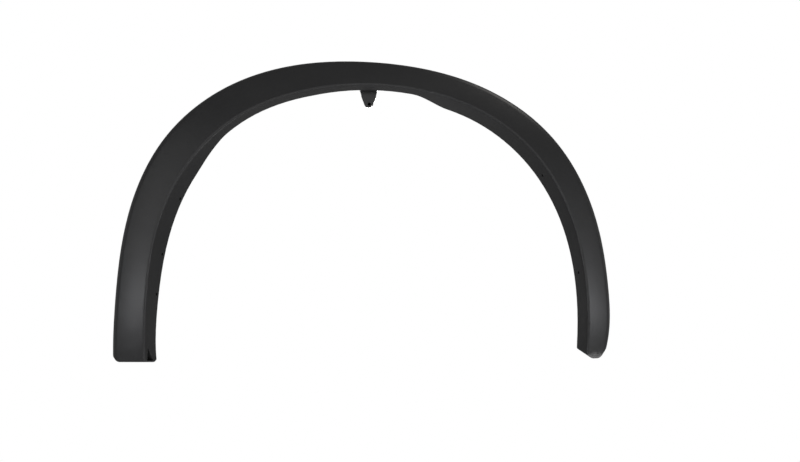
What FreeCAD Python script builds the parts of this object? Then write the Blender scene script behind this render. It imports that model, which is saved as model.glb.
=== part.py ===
import FreeCAD
import Part

import math
import os
from collections import namedtuple

# Fender trim: a wheel arch moulding in one piece of grained black plastic.
# Millimetres. The outboard face looks along -Y, +X is to the right of it and +Z is up.
# The origin is the middle of the screw hole in the top tab, on the tab's front face.

Vector = FreeCAD.Vector

# Wheel opening: the axis of the wheel, which every section plane runs through
wheel_axis_x = -14.0
wheel_axis_z = -368.0
crown_angle = 90.0

# Body side that the trim lies on: a shallow dome, furthest out at the lower legs
side_plan_radius = 4000.0
side_height_radius = 1800.0
side_bulge_z = -390.0

# Moulding
wall = 2.8
rim_height = 14.0
rim_roll_radius = 17.0
rim_roll_share = 0.3
face_crown_radius = 380.0
lip_proud = 24.0
lip_radius = 5.0
flange_reach = 16.0
rounding_strips = 3

# Loft sections: clock angle, radius of the outer edge, radius of the lip, lean of the flange,
# and how far the face falls back to the body side there
Station = namedtuple("Station", "angle outer lip lean drop")
stations = [
    Station(-17.0, 461.6, 434.0, 12.5, 9.0),
    Station(-13.0, 464.6, 427.0, 12.5, 5.0),
    Station(-8.0, 465.2, 421.5, 12.5, 1.5),
    Station(3.0, 460.0, 415.5, 13.0, 0.0),
    Station(20.0, 463.0, 416.5, 15.0, 0.0),
    Station(40.0, 469.0, 420.0, 17.5, 0.0),
    Station(60.0, 459.0, 412.5, 16.5, 0.0),
    Station(75.0, 449.0, 403.5, 16.5, 0.0),
    Station(90.0, 447.3, 399.5, 16.0, 0.0),
    Station(105.0, 457.8, 401.5, 15.5, 0.0),
    Station(122.0, 473.3, 408.5, 16.0, 0.0),
    Station(140.0, 477.8, 407.5, 17.0, 0.0),
    Station(160.0, 462.8, 398.0, 18.0, 0.0),
    Station(180.0, 457.3, 394.0, 13.7, 0.0),
    Station(190.0, 469.5, 403.0, 12.0, 2.0),
    Station(200.0, 488.1, 422.5, 18.0, 9.0),
]

# Feet of the two legs, as seen from the front: straight sides with rounded corners between them.
# The left foot tilts down to the back from left_end_z at foot_pivot_y.
left_end_z = -482.6
left_end_tilt = 7.0
left_inner_x = -402.0
left_outer_x = -467.0
left_corner_slope = 50.0
right_end_x = 383.0
right_end_z = -456.3
right_end_slope = 34.0
right_tip_z = -477.2
right_tip_x = 429.5
right_corner_slope = 56.0
foot_rounding = 12.0
inner_rounding = 6.0
foot_pivot_y = -60.0
foot_inset_lean = 20.0
end_radius = 4.0
end_wall = 5.2

# Room left behind the body side for the panel, and how far the cutting tools run past the part
panel_gap_wall = 8.0
rim_stock = 2.0
core_overrun = 40.0
tool_reach = 150.0

# Gap allowed between the edges of neighbouring faces in the exported file
edge_tolerance = 0.001

# Shallow stretch of the flange over the top, with a ramp at each side: clock angles of its turning points
relief_right_depth = 18.0
relief_left_depth = 24.5
relief_angles = (58.0, 67.0, 74.5, 130.5, 142.0, 150.0)
relief_overrun = 0.4
relief_rounding = 55.0
relief_clearance = 24.0

# Top tab, with a blind screw boss behind it
tab_setback = 15.0
tab_thickness = 3.0
tab_shelf_drop = 22.5
tab_shelf_start = -23.0
tab_offset = -1.2
tab_root_half = 20.5
tab_shoulder_half = 13.8
tab_bend_share = 0.3
tab_end_half = 8.6
tab_end_drop = 6.8
tab_root_height = 9.0
tab_hole_radius = 3.1
boss_radius = 5.6
boss_length = 12.0
boss_floor = 2.0

# Screw holes through the flange, each in a thicker pad: clock angle and depth behind the lip
flange_hole_radius = 2.8
pad_radius = 6.5
pad_thickness = 5.4
flange_holes = [(7.0, 23.0), (34.3, 23.0), (151.1, 33.0), (167.3, 33.0), (178.6, 33.0)]

# Wedge-shaped pocket in the flange at the foot of the left leg
pocket_angle = 194.0
pocket_start = 8.0
pocket_height = 25.0
pocket_width = 19.0
pocket_depth = 6.0
pocket_bottom_wall = 2.6

# Ribs across the hollow back
rib_thickness = 1.8
rib_setback = 3.0
rib_angles = [-4.0, 20.0, 50.0, 79.0, 97.0, 125.0, 155.0, 172.0, 190.0]

# Clip towers near the outer edge, each with a slot for a push-in clip
tower_angles = [8.0, 35.0, 65.0, 108.0, 140.0, 163.0, 184.0]
tower_inset = 22.0
tower_width = 22.0
tower_depth = 14.0
tower_setback = 1.0
tower_plate = 2.5
tower_pocket = 7.0
tower_pocket_width = 16.0
tower_slot_width = 7.0


def wheel_point(angle, radius, y):
    """Point at a clock angle and radius about the wheel axis."""
    turn = math.radians(angle)
    return Vector(wheel_axis_x + radius * math.cos(turn), y, wheel_axis_z + radius * math.sin(turn))


def station_at(angle):
    """Section sizes at a clock angle, in proportion between the stations on each side of it."""
    for low, high in zip(stations, stations[1:]):
        if low.angle <= angle <= high.angle:
            share = (angle - low.angle) / (high.angle - low.angle)
            return Station(*[a + (b - a) * share for a, b in zip(low, high)])
    raise ValueError("no section at clock angle %s" % angle)


def dome(point):
    """How far the body side falls away behind its furthest point."""
    across = (point.x - wheel_axis_x) ** 2 / (2 * side_plan_radius)
    return across + (point.z - side_bulge_z) ** 2 / (2 * side_height_radius)


def body_side(angle, radius):
    """Y of the body side, set so that the tab's face stands tab_setback behind it at the crown's lip."""
    crown = wheel_point(crown_angle, station_at(crown_angle).lip, 0)
    return dome(wheel_point(angle, radius, 0)) - dome(crown) - tab_setback


def lip_front(station):
    """Y of the lip, where the face meets the flange."""
    return body_side(station.angle, station.lip) - lip_proud + station.drop


def flange_depth(station):
    """Depth of the whole flange behind the lip."""
    return lip_proud - station.drop + flange_reach


def circle_through(start, end, radius):
    """Centre of the circle through two section points, on the inboard side of them."""
    run, rise = end[0] - start[0], end[1] - start[1]
    chord = math.hypot(run, rise)
    height = math.sqrt(radius ** 2 - (chord / 2) ** 2)
    return (start[0] + run / 2 + rise / chord * height, start[1] + rise / 2 - run / chord * height)


def rounding_centre(line_point, line_way, inward, circle, circle_radius, radius):
    """Centre of the rounding between a straight wall and the crown circle that it runs into."""
    base = (line_point[0] + inward[0] * radius - circle[0], line_point[1] + inward[1] * radius - circle[1])
    along = base[0] * line_way[0] + base[1] * line_way[1]
    gap = base[0] ** 2 + base[1] ** 2 - (circle_radius - radius) ** 2
    step = -along - math.sqrt(along ** 2 - gap)
    return (circle[0] + base[0] + step * line_way[0], circle[1] + base[1] + step * line_way[1])


def onward(point, way, distance):
    """Section point a distance along a direction from another."""
    return (point[0] + way[0] * distance, point[1] + way[1] * distance)


def towards(centre, point, radius):
    """Point on a circle in the direction of another point."""
    away = (point[0] - centre[0], point[1] - centre[1])
    return onward(centre, away, radius / math.hypot(*away))


def turn_between(first, last):
    """Angle from one direction in the section to another."""
    return math.atan2(first[0] * last[1] - first[1] * last[0], first[0] * last[0] + first[1] * last[1])


def round_run(start, centre, end):
    """Poles of a cubic curve that follows the arc from start to end about a centre."""
    first = (start[0] - centre[0], start[1] - centre[1])
    last = (end[0] - centre[0], end[1] - centre[1])
    pull = 4 / 3 * math.tan(turn_between(first, last) / 4)
    return [start, onward(start, (-first[1], first[0]), pull), onward(end, (last[1], -last[0]), pull), end]


def rounding(start, centre, end, strips):
    """Runs of a rounded edge, in strips of equal turn; with no strips it is a flat chamfer."""
    if strips == 0:
        return [[start, end]]
    spoke = (start[0] - centre[0], start[1] - centre[1])
    turn = turn_between(spoke, (end[0] - centre[0], end[1] - centre[1]))
    stops = []
    for step in range(strips + 1):
        cosine = math.cos(turn * step / strips)
        sine = math.sin(turn * step / strips)
        stops.append((centre[0] + spoke[0] * cosine - spoke[1] * sine,
                      centre[1] + spoke[0] * sine + spoke[1] * cosine))
    return [round_run(near, centre, far) for near, far in zip(stops, stops[1:])]


def section(station, inset, rim_overrun, flange_overrun, strips):
    """Closed wire of the trim's section, set in by inset from the skin and run on behind by the overruns."""
    rim_y = body_side(station.angle, station.outer)
    lip_y = lip_front(station)
    rim_corner = (station.outer, rim_y - rim_height + station.drop)
    lip_corner = (station.lip, lip_y)
    crown = circle_through(rim_corner, lip_corner, face_crown_radius)

    depth = flange_depth(station)
    slant = math.hypot(station.lean, depth)
    flange_way = (-station.lean / slant, depth / slant)
    flange_inward = (depth / slant, station.lean / slant)
    roll_radius = min(rim_roll_radius, (station.outer - station.lip) * rim_roll_share)
    roll = rounding_centre(rim_corner, (0, 1), (-1, 0), crown, face_crown_radius, roll_radius)
    lip = rounding_centre(lip_corner, flange_way, flange_inward, crown, face_crown_radius, lip_radius)

    rim_end = (station.outer - inset, rim_y + rim_overrun)
    rim_start = (station.outer - inset, roll[1])
    roll_end = towards(crown, roll, face_crown_radius - inset)
    lip_start = towards(crown, lip, face_crown_radius - inset)
    lip_end = onward(lip, flange_inward, inset - lip_radius)
    flange_length = slant + flange_overrun - (lip_end[1] - lip_y) / flange_way[1]
    flange_end = onward(lip_end, flange_way, flange_length)

    runs = [[rim_end, rim_start]]
    runs += rounding(rim_start, roll, roll_end, strips)
    runs.append(round_run(roll_end, crown, lip_start))
    runs += rounding(lip_start, lip, lip_end, strips)
    runs += [[lip_end, flange_end], [flange_end, rim_end]]
    edges = []
    for run in runs:
        curve = Part.BezierCurve()
        curve.setPoles([wheel_point(station.angle, *point) for point in run])
        edges.append(curve.toShape())
    return Part.Wire(edges)


def flange_point(angle, depth):
    """Point on the flange at a depth behind the lip, and the way square out of it to the wheel."""
    station = station_at(angle)
    reach = flange_depth(station)
    slant = math.hypot(station.lean, reach)
    point = wheel_point(angle, station.lip - station.lean * depth / reach, lip_front(station) + depth)
    hub = wheel_point(angle, 0, point.y)
    way = (hub - point).normalize() * (reach / slant) + Vector(0, -1, 0) * (station.lean / slant)
    return point, way


def rounded_path(points, radii):
    """Edges along a path of points, with a radius at each inner corner."""
    edges = []
    start = points[0]
    for before, corner, after, radius in zip(points, points[1:], points[2:], radii):
        back = (before - corner).normalize()
        ahead = (after - corner).normalize()
        half = back.getAngle(ahead) / 2
        leave = corner + back * (radius / math.tan(half))
        join = corner + ahead * (radius / math.tan(half))
        middle = corner + (back + ahead).normalize() * (radius / math.sin(half) - radius)
        edges += [Part.LineSegment(start, leave), Part.Arc(leave, middle, join)]
        start = join
    return edges + [Part.LineSegment(start, points[-1])]


def outline_face(edges, way):
    """Face bounded by a path of edges and by three straight sides that close it a way off."""
    first, last = edges[0].StartPoint, edges[-1].EndPoint
    sides = [
        Part.LineSegment(last, last + way),
        Part.LineSegment(last + way, first + way),
        Part.LineSegment(first + way, first),
    ]
    return Part.Face(Part.Wire([edge.toShape() for edge in edges + sides]))


def left_foot_z(y):
    """Height of the left foot, which tilts down to the back."""
    return left_end_z - (y - foot_pivot_y) * math.tan(math.radians(left_end_tilt))


def foot_tools(inset):
    """Blocks that cut off the left and the right leg, moved into the legs by inset."""
    front, back = foot_pivot_y - tool_reach, foot_pivot_y + tool_reach
    left_rise = tool_reach * math.tan(math.radians(left_corner_slope))
    right_slope = math.tan(math.radians(right_end_slope))
    right_rise = tool_reach * math.tan(math.radians(right_corner_slope))
    left = [
        (left_inner_x + tool_reach, left_foot_z(front) + left_rise),
        (left_inner_x, left_foot_z(front)),
        (left_outer_x, left_foot_z(front)),
        (left_outer_x - tool_reach, left_foot_z(front) + left_rise),
    ]
    right = [
        (right_end_x - tool_reach, right_end_z + tool_reach * right_slope),
        (right_end_x + (right_end_z - right_tip_z) / right_slope, right_tip_z),
        (right_tip_x, right_tip_z),
        (right_tip_x + tool_reach, right_tip_z + right_rise),
    ]
    lean = math.radians(foot_inset_lean)
    inward = Vector(math.sin(lean), 0, math.cos(lean)) * inset
    tools = []
    for corners, radii, fall in (
        (left, (inner_rounding, foot_rounding), left_foot_z(back) - left_foot_z(front)),
        (right, (foot_rounding, foot_rounding), 0.0),
    ):
        path = rounded_path([Vector(x, front, z) for x, z in corners], radii)
        tool = outline_face(path, Vector(0, 0, -3 * tool_reach)).extrude(Vector(0, back - front, fall))
        tool.translate(inward)
        tools.append(tool)
        inward.x = -inward.x
    return tools


def arch(inset, end_inset, rim_overrun, flange_overrun, strips):
    """Lofted arch set in by inset from the skin, cut off at the two feet."""
    wires = [section(station, inset, rim_overrun, flange_overrun, strips) for station in stations]
    return Part.makeLoft(wires, True, False).cut(foot_tools(end_inset))


def skin():
    """Solid inside the outer skin, with the edges of the feet rounded over."""
    solid = arch(0.0, 0.0, rim_stock, 0.0, rounding_strips)
    back = max(solid.Faces, key=lambda face: face.CenterOfMass.y)
    feet = [face for face in solid.Faces if not isinstance(face.Surface, Part.BSplineSurface)]
    shared = [edge for face in feet + [back] for edge in face.Edges]
    own = [edge for edge in shared if sum(edge.isSame(other) for other in shared) == 1]
    edges = [edge for edge in own if not any(edge.isSame(other) for other in back.Edges)]
    return solid.makeFillet(end_radius, edges)


def turned_block(angle, radius, thickness, width, y_from, y_to):
    """Block square to the wheel's radius: thickness runs round the arch and width along the radius."""
    block = Part.makeBox(width, y_to - y_from, thickness, Vector(radius - width / 2, y_from, -thickness / 2))
    block.rotate(Vector(0, 0, 0), Vector(0, -1, 0), angle)
    block.translate(wheel_point(angle, 0, 0))
    return block


def rib(angle):
    """Rib across the channel, wider than the trim, which trims it to the walls."""
    lip = station_at(angle).lip
    top = body_side(angle, lip) - rib_setback
    return turned_block(angle, lip, rib_thickness, 2 * tool_reach, top - tool_reach, top)


def tower(angle):
    """Clip tower: a block on the back of the face with a slot and a pocket open to one side."""
    radius = station_at(angle).outer - tower_inset
    top = body_side(angle, radius) - tower_setback
    pocket_top = top - tower_plate
    pocket_floor = pocket_top - tower_pocket
    open_radius = radius - tower_depth / 2 + wall
    block = turned_block(angle, radius, tower_width, tower_depth, top - tool_reach, top)
    pocket = turned_block(angle, open_radius, tower_pocket_width, tower_depth, pocket_floor, pocket_top)
    slot = turned_block(angle, open_radius, tower_slot_width, tower_depth, pocket_top, top)
    return block.cut([pocket, slot])


def end_pocket(around=0.0):
    """Wedge-shaped pocket in the flange at the foot of the left leg, or the block of wall around it."""
    station = station_at(pocket_angle)
    front = lip_front(station) + pocket_start - around
    back = front + pocket_width + 2 * around
    corners = [
        (front, left_foot_z(front) + pocket_bottom_wall + pocket_height + 2 * around),
        (front, left_foot_z(front) + pocket_bottom_wall - around),
        (back, left_foot_z(back) + pocket_bottom_wall - around),
    ]
    end = flange_point(pocket_angle, pocket_start)[0].x - pocket_depth - around
    points = [Vector(end, y, z) for y, z in corners]
    wedge = Part.Face(Part.makePolygon(points + points[:1]))
    return wedge.extrude(Vector(pocket_depth + 2 * station.lean, 0, 0))


def pad(angle, depth):
    """Round pad that thickens the flange behind a screw hole."""
    point, way = flange_point(angle, depth)
    return Part.makeCylinder(pad_radius, 2 * pad_thickness, point + way * pad_thickness, -way)


def hollow():
    """What is taken out behind the face, round the ribs, towers and pads that stay."""
    stays = [rib(angle) for angle in rib_angles] + [tower(angle) for angle in tower_angles]
    stays += [pad(angle, depth) for angle, depth in flange_holes] + [end_pocket(wall)]
    return arch(wall, end_wall, core_overrun, core_overrun, 0).cut(stays)


def panel_gap():
    """Room for the body panel: what lies behind the body side between the rim and the flange."""
    wires = []
    for station in stations:
        lip_y = body_side(station.angle, station.lip)
        rim_y = body_side(station.angle, station.outer)
        slope = station.lean / flange_depth(station)
        flange = station.lip - slope * (lip_y - lip_front(station)) + panel_gap_wall
        corners = [
            (flange, lip_y),
            (station.outer + rim_stock, rim_y),
            (station.outer + rim_stock, rim_y + core_overrun),
            (flange - slope * core_overrun, lip_y + core_overrun),
        ]
        points = [wheel_point(station.angle, *corner) for corner in corners]
        wires.append(Part.makePolygon(points + points[:1]))
    return Part.makeLoft(wires, True, False).cut(end_pocket(wall))


def top_relief():
    """Tool that takes the flange back to its shallow depth over the top, with a ramp at each side."""
    full = lip_proud + flange_reach + relief_overrun
    middle_angle = (relief_angles[2] + relief_angles[3]) / 2
    middle_depth = (relief_right_depth + relief_left_depth) / 2
    angles = relief_angles[:3] + (middle_angle,) + relief_angles[3:]
    depths = (full, full, relief_right_depth, middle_depth, relief_left_depth, full, full)
    points = [flange_point(angle, depth)[0] for angle, depth in zip(angles, depths)]
    for point in points:
        point.z = wheel_axis_z
    path = rounded_path(points, [relief_rounding] * (len(points) - 2))
    plan = outline_face(path, Vector(0, core_overrun, 0))
    reach = station_at(crown_angle).lip + relief_clearance
    disc = Part.makeCylinder(reach, 2 * tool_reach, wheel_point(0, 0, -tool_reach), Vector(0, 1, 0))
    return plan.extrude(Vector(0, 0, reach)).common(disc)


def tab_side(side):
    """Corner points down one side of the tab: root, bend, shoulder and end."""
    bend_half = tab_shoulder_half + (tab_root_half - tab_shoulder_half) * tab_bend_share
    return [
        Vector(tab_offset + side * tab_root_half, 0, tab_shelf_drop + tab_root_height),
        Vector(tab_offset + side * bend_half, 0, tab_shelf_drop),
        Vector(tab_offset + side * tab_shoulder_half, 0, tab_shelf_drop - tab_root_height),
        Vector(tab_offset + side * tab_end_half, 0, 0),
    ]


def tab():
    """Tab under the crown: a shelf back from the flange and a tapered plate with a screw boss."""
    depth = tab_shelf_start - lip_front(station_at(crown_angle))
    start = flange_point(crown_angle, depth)[0].z + wall / 2
    corners = [
        (tab_shelf_start, start),
        (0, tab_shelf_drop),
        (0, -tab_end_drop),
        (tab_thickness, -tab_end_drop),
        (tab_thickness, tab_shelf_drop + tab_thickness),
        (tab_shelf_start, start + tab_thickness),
    ]
    points = [Vector(tab_offset - tab_root_half, y, z) for y, z in corners]
    bracket = Part.Face(Part.makePolygon(points + points[:1])).extrude(Vector(2 * tab_root_half, 0, 0))

    left_root, left_bend, left_shoulder, left_end = tab_side(-1)
    right_root, right_bend, right_shoulder, right_end = tab_side(1)
    edges = [
        Part.Arc(left_root, left_bend, left_shoulder),
        Part.LineSegment(left_shoulder, left_end),
        Part.Arc(left_end, Vector(tab_offset, 0, -tab_end_drop), right_end),
        Part.LineSegment(right_end, right_shoulder),
        Part.Arc(right_shoulder, right_bend, right_root),
        Part.LineSegment(right_root, left_root),
    ]
    outline = Part.Face(Part.Wire([edge.toShape() for edge in edges]))
    outline.translate(Vector(0, -tool_reach, 0))
    plate = bracket.common(outline.extrude(Vector(0, 2 * tool_reach, 0)))
    boss = Part.makeCylinder(boss_radius, boss_length, Vector(0, 0, 0), Vector(0, 1, 0))
    return plate.fuse(boss)


def screw_holes():
    """Blind hole in the tab's boss and the clearance holes square through the flange."""
    tools = [Part.makeCylinder(tab_hole_radius, boss_length - boss_floor, Vector(0, 0, 0), Vector(0, 1, 0))]
    for angle, depth in flange_holes:
        point, way = flange_point(angle, depth)
        mouth = point + way * pad_thickness
        tools.append(Part.makeCylinder(flange_hole_radius, 3 * pad_thickness, mouth, -way))
    return tools


def fender_trim():
    trim = skin().cut([hollow(), panel_gap(), top_relief()]).fuse(tab())
    return trim.cut(screw_holes() + [end_pocket()])


if __name__ == "__main__":
    os.makedirs("parts", exist_ok=True)
    trim = fender_trim()
    trim.limitTolerance(edge_tolerance)
    print("solids", len(trim.Solids), "valid", trim.isValid(), "volume", round(trim.Volume))
    trim.exportStep("parts/fender_trim.step")
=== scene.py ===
import math
from typing import NamedTuple

import bmesh
import bpy
from mathutils import Matrix, Vector


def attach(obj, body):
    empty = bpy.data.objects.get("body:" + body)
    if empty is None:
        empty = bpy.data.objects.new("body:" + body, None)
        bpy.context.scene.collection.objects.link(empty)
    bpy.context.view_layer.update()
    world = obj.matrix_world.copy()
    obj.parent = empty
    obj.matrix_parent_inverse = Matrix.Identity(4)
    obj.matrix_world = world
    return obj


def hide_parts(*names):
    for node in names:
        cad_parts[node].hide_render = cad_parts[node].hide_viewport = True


bl_info = {
    "name": "Fender Trim",
    "version": (1, 0, 0),
    "blender": (4, 5, 0),
    "location": "View3D > Sidebar > Fender Trim",
    "description": "Finishes the fender trim in grained plastic and sets up a white studio",
    "category": "Object",
}

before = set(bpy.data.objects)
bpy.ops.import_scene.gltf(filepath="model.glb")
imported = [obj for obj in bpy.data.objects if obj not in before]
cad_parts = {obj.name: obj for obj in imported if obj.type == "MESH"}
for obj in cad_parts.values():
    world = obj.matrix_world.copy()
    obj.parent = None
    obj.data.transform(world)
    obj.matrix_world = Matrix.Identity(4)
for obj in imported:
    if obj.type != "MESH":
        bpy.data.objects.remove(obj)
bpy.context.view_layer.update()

# Camera film in millimetres, shape of the picture, and how far the backdrop reaches past it
sensor_width = 36.0
photo_aspect = 462 / 800
backdrop_margin = 1.05

# Turn that stands a flat panel up and makes the camera look level
upright = math.radians(90.0)

# How near, in metres, two vertices are merged, and a cut passes through a vertex
merge_distance = 1e-6
cut_tolerance = 1e-7

# Small facet on the tip of the right foot: a point of its plane in metres, and the way it faces
facet_place = (0.415, -0.0559, -0.466)
facet_normal = (0.28, -0.85, -0.455)

# Grain: distance from a pebble's middle at its foot and at its top, in pebbles, and strength of the relief
pebble_span = (0.75, 0.1)
grain_strength = 0.6

# Noise that stirs the pebbles, its width in pebbles, and noise of the clouds
stir_width = 2.0
stir_detail = 2.0
cloud_detail = 5.0
cloud_roughness = 0.6
cloud_span = (0.3, 0.7)

# Cosine of the normal's turn where an edge starts to be rubbed and where it is most, share of open space
# where a hollow is dullest and where it ends, and how many rays look for each
edge_span = (0.998, 0.9)
hollow_span = (0.15, 0.6)
edge_samples = 6
# The rays for the hollows also paint shade, darkening the plastic's colour in holes and corners
painted_shade_samples = 8

# Shares of the worn colour that the grain, the clouds and the rubbed edges bring
grain_share = 0.35
cloud_share = 0.3
rubbed_share = 0.8

# Roughness of the floor's matt paint
floor_roughness = 0.9

# Places on the part that the lamps face, in metres
crown, middle = (0.0, -0.03, 0.05), (0.0, 0.0, -0.24)
left_shoulder, right_shoulder = (-0.38, -0.03, -0.1), (0.35, -0.03, -0.05)
left_leg, right_leg = (-0.42, -0.05, -0.38), (0.42, -0.05, -0.38)
right_foot = (0.42, -0.05, -0.46)

# Tints of the lamps and the backdrop
cool, warm, white = (0.95, 0.96, 1.0), (1.0, 0.97, 0.93), (1.0, 1.0, 1.0)


class Lamp(NamedTuple):
    """Soft rectangular lamp: its place, what it faces, its width and height, power, tint and beam.

    Lengths are in metres, the power in watts, and the beam is the angle of its cone of light in radians.
    """

    name: str
    place: tuple
    target: tuple
    size: tuple
    power: float
    tint: tuple
    beam: float = math.pi


# The front and top lamps light the face evenly. The left and right lamps make the highlights low on the
# legs, and the fills carry them up. The edge and high lamps pick out the rolled shoulder, the low lamp the
# facet of the foot, the lip lamp the crease along the lip, and the back lamp the hollow back.
lamps = (
    Lamp("front_lamp", (0.0, -3.0, 0.25), crown, (3.0, 1.6), 16.0, white),
    Lamp("left_lamp", (-1.65, -1.7, -0.5), left_leg, (0.35, 0.2), 5.6, cool),
    Lamp("right_lamp", (1.75, -1.7, -0.55), right_leg, (0.35, 0.2), 6.2, cool),
    Lamp("left_fill", (-1.75, -1.65, 0.3), left_shoulder, (0.5, 1.6), 4.2, white),
    Lamp("right_fill", (1.8, -1.6, -0.4), right_leg, (0.4, 2.0), 3.5, white),
    Lamp("left_edge", (-2.0, 0.2, -0.2), left_leg, (0.6, 1.3), 0.9, white),
    Lamp("right_edge", (2.0, 0.2, -0.2), right_leg, (0.6, 1.3), 1.5, white),
    Lamp("top_lamp", (0.0, -1.3, 1.6), crown, (1.4, 0.5), 0.5, warm),
    Lamp("high_lamp", (0.95, -0.05, 1.3), right_shoulder, (1.2, 0.5), 5.0, warm),
    Lamp("low_lamp", (1.2, -0.4, -1.5), right_foot, (0.4, 0.5), 4.5, white),
    Lamp("lip_lamp", (0.0, -1.7, -1.2), crown, (0.6, 0.3), 2.5, white),
    Lamp("back_lamp", (0.0, 3.8, -0.24), middle, (1.2, 1.2), 20.0, white, math.radians(60.0)),
)


class FenderTrimFinish(bpy.types.PropertyGroup):
    """Colour and texture of the moulding."""

    base_color: bpy.props.FloatVectorProperty(
        name="Plastic", description="Colour of the plastic in the hollows of its grain",
        default=(0.02, 0.02, 0.0205), min=0.0, max=1.0, size=3, subtype="COLOR")
    worn_color: bpy.props.FloatVectorProperty(
        name="Worn Plastic", description="Colour of the plastic on the tops of its grain and on rubbed edges",
        default=(0.037, 0.037, 0.038), min=0.0, max=1.0, size=3, subtype="COLOR")
    grain_size: bpy.props.FloatProperty(
        name="Grain Size", description="Width of one pebble of the moulded grain",
        default=0.0011, min=0.0002, max=0.01, unit="LENGTH", precision=5)
    grain_depth: bpy.props.FloatProperty(
        name="Grain Depth", description="Depth of the moulded grain",
        default=0.00007, min=0.0, max=0.001, unit="LENGTH", precision=6)
    cloud_size: bpy.props.FloatProperty(
        name="Cloud Size", description="Width of the faint patches where the gloss changes",
        default=0.09, min=0.01, max=1.0, unit="LENGTH")
    edge_radius: bpy.props.FloatProperty(
        name="Edge Radius", description="Rounding that catches the light on the moulding's sharp edges",
        default=0.0007, min=0.0, max=0.01, unit="LENGTH", precision=5)
    # Reach of the painted shade that darkens holes and corners, and of their dull gloss
    painted_shade_reach: bpy.props.FloatProperty(
        name="Hollow Reach",
        description="How near the walls of a hole or corner stand to make it dull and dark",
        default=0.012, min=0.0, max=0.1, unit="LENGTH", precision=4)
    roughness_low: bpy.props.FloatProperty(
        name="Least Roughness", description="Roughness on the tops of the grain",
        default=0.3, min=0.0, max=1.0, subtype="FACTOR")
    roughness_high: bpy.props.FloatProperty(
        name="Most Roughness", description="Roughness in the hollows of the grain",
        default=0.37, min=0.0, max=1.0, subtype="FACTOR")
    specular: bpy.props.FloatProperty(
        name="Gloss", description="Strength of the plastic's mirror reflection",
        default=0.35, min=0.0, max=1.0, subtype="FACTOR")
    smooth_angle: bpy.props.FloatProperty(
        name="Smooth Angle", description="Edges flatter than this are shaded smooth",
        default=math.radians(24.0), min=0.0, max=math.pi, subtype="ANGLE")


class FenderTrimStage(bpy.types.PropertyGroup):
    """Camera, lamps, floor and backdrop."""

    camera_place: bpy.props.FloatVectorProperty(
        name="Camera", description="Where the camera stands, square to the outer face",
        default=(0.05833, -2.0, -0.24092), size=3, subtype="TRANSLATION", unit="LENGTH")
    camera_lens: bpy.props.FloatProperty(
        name="Lens", description="Focal length of the camera in millimetres",
        default=47.37, min=1.0, max=500.0, unit="CAMERA")
    floor_height: bpy.props.FloatProperty(
        name="Floor", description="Height of the pale floor, well below the part",
        default=-1.7, unit="LENGTH")
    floor_size: bpy.props.FloatProperty(
        name="Floor Size", description="Side of the square floor",
        default=9.0, min=1.0, max=100.0, unit="LENGTH")
    floor_color: bpy.props.FloatVectorProperty(
        name="Floor Colour", description="Colour of the floor",
        default=(0.9, 0.9, 0.9), min=0.0, max=1.0, size=3, subtype="COLOR")
    backdrop_distance: bpy.props.FloatProperty(
        name="Backdrop", description="How far behind the part the white backdrop hangs",
        default=10.0, min=0.5, max=20.0, unit="LENGTH")
    ambient: bpy.props.FloatProperty(
        name="Ambient", description="Strength of the even light from all round",
        default=0.18, min=0.0, max=10.0)
    lamp_level: bpy.props.FloatProperty(
        name="Lamps", description="Share of every lamp's power that is used",
        default=1.0, min=0.0, max=10.0, subtype="FACTOR")


def add_node(tree, kind, **sockets):
    """Node of a kind, with its input sockets set by name."""
    node = tree.nodes.new(kind)
    for name, value in sockets.items():
        node.inputs[name.replace("_", " ")].default_value = value
    return node


def add_math(tree, kind, operation, *terms):
    """Math node that works on terms in order, each a socket or a value."""
    node = tree.nodes.new(kind)
    node.operation = operation
    for socket, term in zip(node.inputs, terms):
        if isinstance(term, bpy.types.NodeSocket):
            tree.links.new(term, socket)
        else:
            socket.default_value = term
    return node


def add_range(tree, value, start, end, curve="LINEAR"):
    """Result of a Map Range node that takes a span of values to another."""
    node = add_node(tree, "ShaderNodeMapRange",
                    From_Min=start[0], From_Max=start[1], To_Min=end[0], To_Max=end[1])
    node.interpolation_type = curve
    tree.links.new(value, node.inputs["Value"])
    return node.outputs["Result"]


def pebble_grain(tree, place, finish):
    """Height of the moulded pebbles, with their places stirred so that they don't look like cells."""
    stir = add_node(tree, "ShaderNodeTexNoise",
                    Scale=1.0 / (stir_width * finish.grain_size), Detail=stir_detail)
    tree.links.new(place, stir.inputs["Vector"])
    stirred = add_math(tree, "ShaderNodeVectorMath", "MULTIPLY_ADD",
                       stir.outputs["Color"], (finish.grain_size,) * 3, place)
    pebbles = add_node(tree, "ShaderNodeTexVoronoi", Scale=1.0 / finish.grain_size)
    tree.links.new(stirred.outputs["Vector"], pebbles.inputs["Vector"])
    return add_range(tree, pebbles.outputs["Distance"], pebble_span, (0.0, 1.0), "SMOOTHSTEP")


def faint_clouds(tree, place, finish):
    """Wear in wide faint patches."""
    clouds = add_node(tree, "ShaderNodeTexNoise",
                      Scale=1.0 / finish.cloud_size, Detail=cloud_detail, Roughness=cloud_roughness)
    tree.links.new(place, clouds.inputs["Vector"])
    return add_range(tree, clouds.outputs["Fac"], cloud_span, (0.0, cloud_share))


def rubbed_edges(tree, edge_normal):
    """Wear on sharp edges, where the rounded normal turns away from the surface's own."""
    surface = tree.nodes.new("ShaderNodeNewGeometry")
    facing = add_math(tree, "ShaderNodeVectorMath", "DOT_PRODUCT", edge_normal, surface.outputs["Normal"])
    return add_range(tree, facing.outputs["Value"], edge_span, (0.0, rubbed_share))


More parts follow.
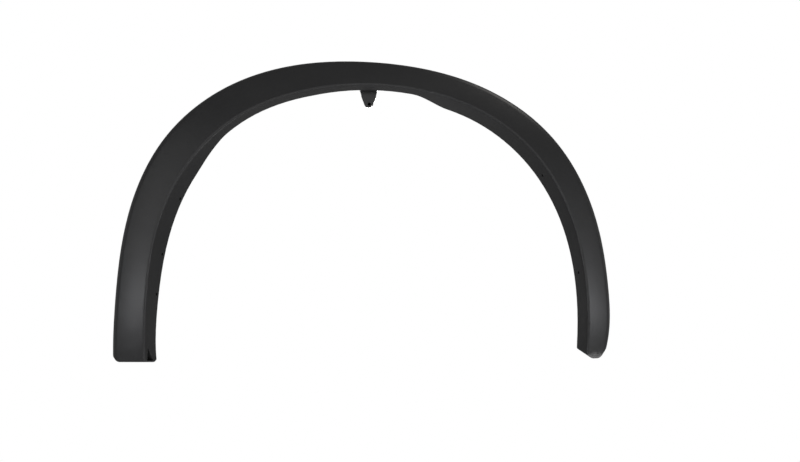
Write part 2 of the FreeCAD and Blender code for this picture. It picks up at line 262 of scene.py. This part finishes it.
def grained_plastic(finish):
    """Black plastic with a moulded pebble grain, faint clouds of gloss, rubbed edges, and dull hollows with
    painted shade.
    """
    material = bpy.data.materials.new("grained_plastic")
    material.use_nodes = True
    tree = material.node_tree
    tree.nodes.clear()
    link = tree.links.new
    output = tree.nodes.new("ShaderNodeOutputMaterial")
    shader = tree.nodes.new("ShaderNodeBsdfPrincipled")
    shader.inputs["Specular IOR Level"].default_value = finish.specular
    link(shader.outputs["BSDF"], output.inputs["Surface"])

    place = tree.nodes.new("ShaderNodeTexCoord").outputs["Object"]
    height = pebble_grain(tree, place, finish)
    clouds = faint_clouds(tree, place, finish)
    rounding = add_node(tree, "ShaderNodeBevel", Radius=finish.edge_radius)
    rounding.samples = edge_samples
    edge_normal = rounding.outputs["Normal"]

    # Colour: worn on the grain's tops and the edges, and darkened by painted shade in holes and corners
    tone = add_math(tree, "ShaderNodeMath", "MULTIPLY_ADD", height, grain_share, clouds)
    worn = add_math(tree, "ShaderNodeMath", "MAXIMUM", tone.outputs["Value"], rubbed_edges(tree, edge_normal))
    color = tree.nodes.new("ShaderNodeMix")
    color.data_type = "RGBA"
    color.inputs["A"].default_value = (*finish.base_color, 1.0)
    color.inputs["B"].default_value = (*finish.worn_color, 1.0)
    link(worn.outputs["Value"], color.inputs["Factor"])
    # Painted shade: ambient occlusion darkens the plastic's colour in holes and corners
    painted_hollow_shade = add_node(tree, "ShaderNodeAmbientOcclusion", Distance=finish.painted_shade_reach)
    painted_hollow_shade.samples = painted_shade_samples
    painted_hollow_shade.only_local = True
    link(color.outputs["Result"], painted_hollow_shade.inputs["Color"])
    link(painted_hollow_shade.outputs["Color"], shader.inputs["Base Color"])

    # Gloss: smoothest on the grain's tops, and dull in holes and corners
    gloss = add_range(tree, tone.outputs["Value"], (0.0, grain_share + cloud_share),
                      (finish.roughness_high, finish.roughness_low))
    dull = add_range(tree, painted_hollow_shade.outputs["AO"], hollow_span, (1.0, 0.0))
    roughness = add_math(tree, "ShaderNodeMath", "MAXIMUM", gloss, dull)
    link(roughness.outputs["Value"], shader.inputs["Roughness"])

    relief = add_node(tree, "ShaderNodeBump", Strength=grain_strength, Distance=finish.grain_depth)
    link(height, relief.inputs["Height"])
    link(edge_normal, relief.inputs["Normal"])
    link(relief.outputs["Normal"], shader.inputs["Normal"])
    return material


def cut_facet(solid):
    """Cuts the facet on the tip of the right foot and closes the cut."""
    cut = bmesh.ops.bisect_plane(
        solid, geom=[*solid.verts, *solid.edges, *solid.faces], dist=cut_tolerance,
        plane_co=facet_place, plane_no=facet_normal, clear_outer=True)
    rim = [item for item in cut["geom_cut"] if isinstance(item, bmesh.types.BMEdge)]
    filled = bmesh.ops.holes_fill(solid, edges=rim, sides=0)["faces"]
    for face in filled:
        face.normal_update()
        if face.normal.dot(Vector(facet_normal)) < 0.0:
            face.normal_flip()
    bmesh.ops.triangulate(solid, faces=filled)


def moulding_mesh(finish):
    """Closed copy of the CAD solid's mesh, with the facet cut and its sharp edges marked."""
    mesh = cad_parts["fender_trim"].data.copy()
    mesh.name = "moulding"
    solid = bmesh.new()
    solid.from_mesh(mesh)
    bmesh.ops.remove_doubles(solid, verts=solid.verts, dist=merge_distance)
    cut_facet(solid)
    if any(not edge.is_manifold for edge in solid.edges):
        raise RuntimeError("the moulding is not a closed mesh")
    for face in solid.faces:
        face.smooth = True
    for edge in solid.edges:
        edge.smooth = edge.calc_face_angle() < finish.smooth_angle
    solid.to_mesh(mesh)
    solid.free()
    mesh.materials.clear()
    mesh.materials.append(grained_plastic(finish))
    return mesh


class OBJECT_OT_fender_trim_moulding(bpy.types.Operator):
    """Makes the moulding from the CAD solid, with smooth shading and grained plastic"""

    bl_idname = "object.fender_trim_moulding"
    bl_label = "Make Moulding"

    def execute(self, context):
        mesh = moulding_mesh(context.scene.fender_trim_finish)
        moulding = bpy.data.objects.new("moulding", mesh)
        context.scene.collection.objects.link(moulding)
        shading = moulding.modifiers.new("Even Shading", "WEIGHTED_NORMAL")
        shading.keep_sharp = True
        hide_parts("fender_trim")
        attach(moulding, "root")
        return {"FINISHED"}


def add_lamp(context, lamp, level):
    """Rectangular soft lamp that faces its target."""
    data = bpy.data.lights.new(lamp.name, "AREA")
    data.shape = "RECTANGLE"
    data.size, data.size_y = lamp.size
    data.energy = lamp.power * level
    data.color = lamp.tint
    data.spread = lamp.beam
    obj = bpy.data.objects.new(lamp.name, data)
    obj.location = lamp.place
    obj.visible_camera = False
    obj.rotation_euler = (Vector(lamp.target) - Vector(lamp.place)).to_track_quat("-Z", "Y").to_euler()
    context.scene.collection.objects.link(obj)


def floor_paint(stage):
    """Pale matt paint of the floor."""
    material = bpy.data.materials.new("floor_paint")
    material.use_nodes = True
    shader = material.node_tree.nodes["Principled BSDF"]
    shader.inputs["Base Color"].default_value = (*stage.floor_color, 1.0)
    shader.inputs["Roughness"].default_value = floor_roughness
    return material


def backdrop_white():
    """White that the camera, reflections and clear parts see, and that lights nothing."""
    material = bpy.data.materials.new("backdrop_white")
    material.use_nodes = True
    tree = material.node_tree
    tree.nodes.clear()
    ray = tree.nodes.new("ShaderNodeLightPath")
    seen = add_math(tree, "ShaderNodeMath", "MAXIMUM",
                    ray.outputs["Is Camera Ray"], ray.outputs["Is Glossy Ray"])
    shown = add_math(tree, "ShaderNodeMath", "MAXIMUM",
                     seen.outputs["Value"], ray.outputs["Is Transmission Ray"])
    glow = add_node(tree, "ShaderNodeEmission", Color=(*white, 1.0))
    tree.links.new(shown.outputs["Value"], glow.inputs["Strength"])
    output = tree.nodes.new("ShaderNodeOutputMaterial")
    tree.links.new(glow.outputs["Emission"], output.inputs["Surface"])
    return material


def add_panel(context, name, size, turn, place, material):
    """Flat rectangle of the stage, turned about X and put in its place."""
    mesh = bpy.data.meshes.new(name)
    panel = bmesh.new()
    bmesh.ops.create_grid(panel, x_segments=1, y_segments=1, size=0.5)
    bmesh.ops.scale(panel, verts=panel.verts, vec=(size[0], size[1], 1.0))
    bmesh.ops.rotate(panel, verts=panel.verts, matrix=Matrix.Rotation(turn, 3, "X"))
    bmesh.ops.translate(panel, verts=panel.verts, vec=place)
    panel.to_mesh(mesh)
    panel.free()
    mesh.materials.append(material)
    obj = bpy.data.objects.new(name, mesh)
    context.scene.collection.objects.link(obj)


def studio_world(stage):
    """Even white light from all round."""
    world = bpy.data.worlds.new("studio")
    world.use_nodes = True
    background = world.node_tree.nodes["Background"]
    background.inputs["Color"].default_value = (*white, 1.0)
    background.inputs["Strength"].default_value = stage.ambient
    return world


def add_camera(context, stage):
    """Camera of the photograph's view, which looks level along Y."""
    data = bpy.data.cameras.new("camera")
    data.sensor_width = sensor_width
    data.lens = stage.camera_lens
    camera = bpy.data.objects.new("camera", data)
    camera.location = stage.camera_place
    camera.rotation_euler = (upright, 0.0, 0.0)
    context.scene.collection.objects.link(camera)
    context.scene.camera = camera


class OBJECT_OT_fender_trim_stage(bpy.types.Operator):
    """Makes the floor, the white backdrop, the soft lamps and the camera"""

    bl_idname = "object.fender_trim_stage"
    bl_label = "Make Stage"

    def execute(self, context):
        stage = context.scene.fender_trim_stage
        eye = Vector(stage.camera_place)
        add_panel(context, "floor", (stage.floor_size,) * 2, 0.0, (0.0, 0.0, stage.floor_height),
                  floor_paint(stage))
        width = (stage.backdrop_distance - eye.y) * sensor_width / stage.camera_lens * backdrop_margin
        add_panel(context, "backdrop", (width, width * photo_aspect), upright,
                  (eye.x, stage.backdrop_distance, eye.z), backdrop_white())

        context.scene.world = studio_world(stage)
        for lamp in lamps:
            add_lamp(context, lamp, stage.lamp_level)
        add_camera(context, stage)
        context.scene.view_settings.view_transform = "Standard"
        return {"FINISHED"}


class VIEW3D_PT_fender_trim(bpy.types.Panel):
    """Lists the pieces and their settings."""

    bl_idname = "VIEW3D_PT_fender_trim"
    bl_label = "Fender Trim"
    bl_space_type = "VIEW_3D"
    bl_region_type = "UI"
    bl_category = "Fender Trim"

    def draw(self, context):
        layout = self.layout
        for operator, settings in (
                (OBJECT_OT_fender_trim_moulding, context.scene.fender_trim_finish),
                (OBJECT_OT_fender_trim_stage, context.scene.fender_trim_stage)):
            column = layout.column(align=True)
            column.operator(operator.bl_idname)
            for name in settings.bl_rna.properties.keys():
                if name not in ("rna_type", "name"):
                    column.prop(settings, name)


classes = (
    FenderTrimFinish,
    FenderTrimStage,
    OBJECT_OT_fender_trim_moulding,
    OBJECT_OT_fender_trim_stage,
    VIEW3D_PT_fender_trim,
)


def register():
    for cls in classes:
        bpy.utils.register_class(cls)
    bpy.types.Scene.fender_trim_finish = bpy.props.PointerProperty(type=FenderTrimFinish)
    bpy.types.Scene.fender_trim_stage = bpy.props.PointerProperty(type=FenderTrimStage)


def unregister():
    del bpy.types.Scene.fender_trim_stage
    del bpy.types.Scene.fender_trim_finish
    for cls in reversed(classes):
        bpy.utils.unregister_class(cls)


def main():
    register()
    bpy.ops.object.fender_trim_moulding()
    bpy.ops.object.fender_trim_stage()


if __name__ == "__main__":
    main()
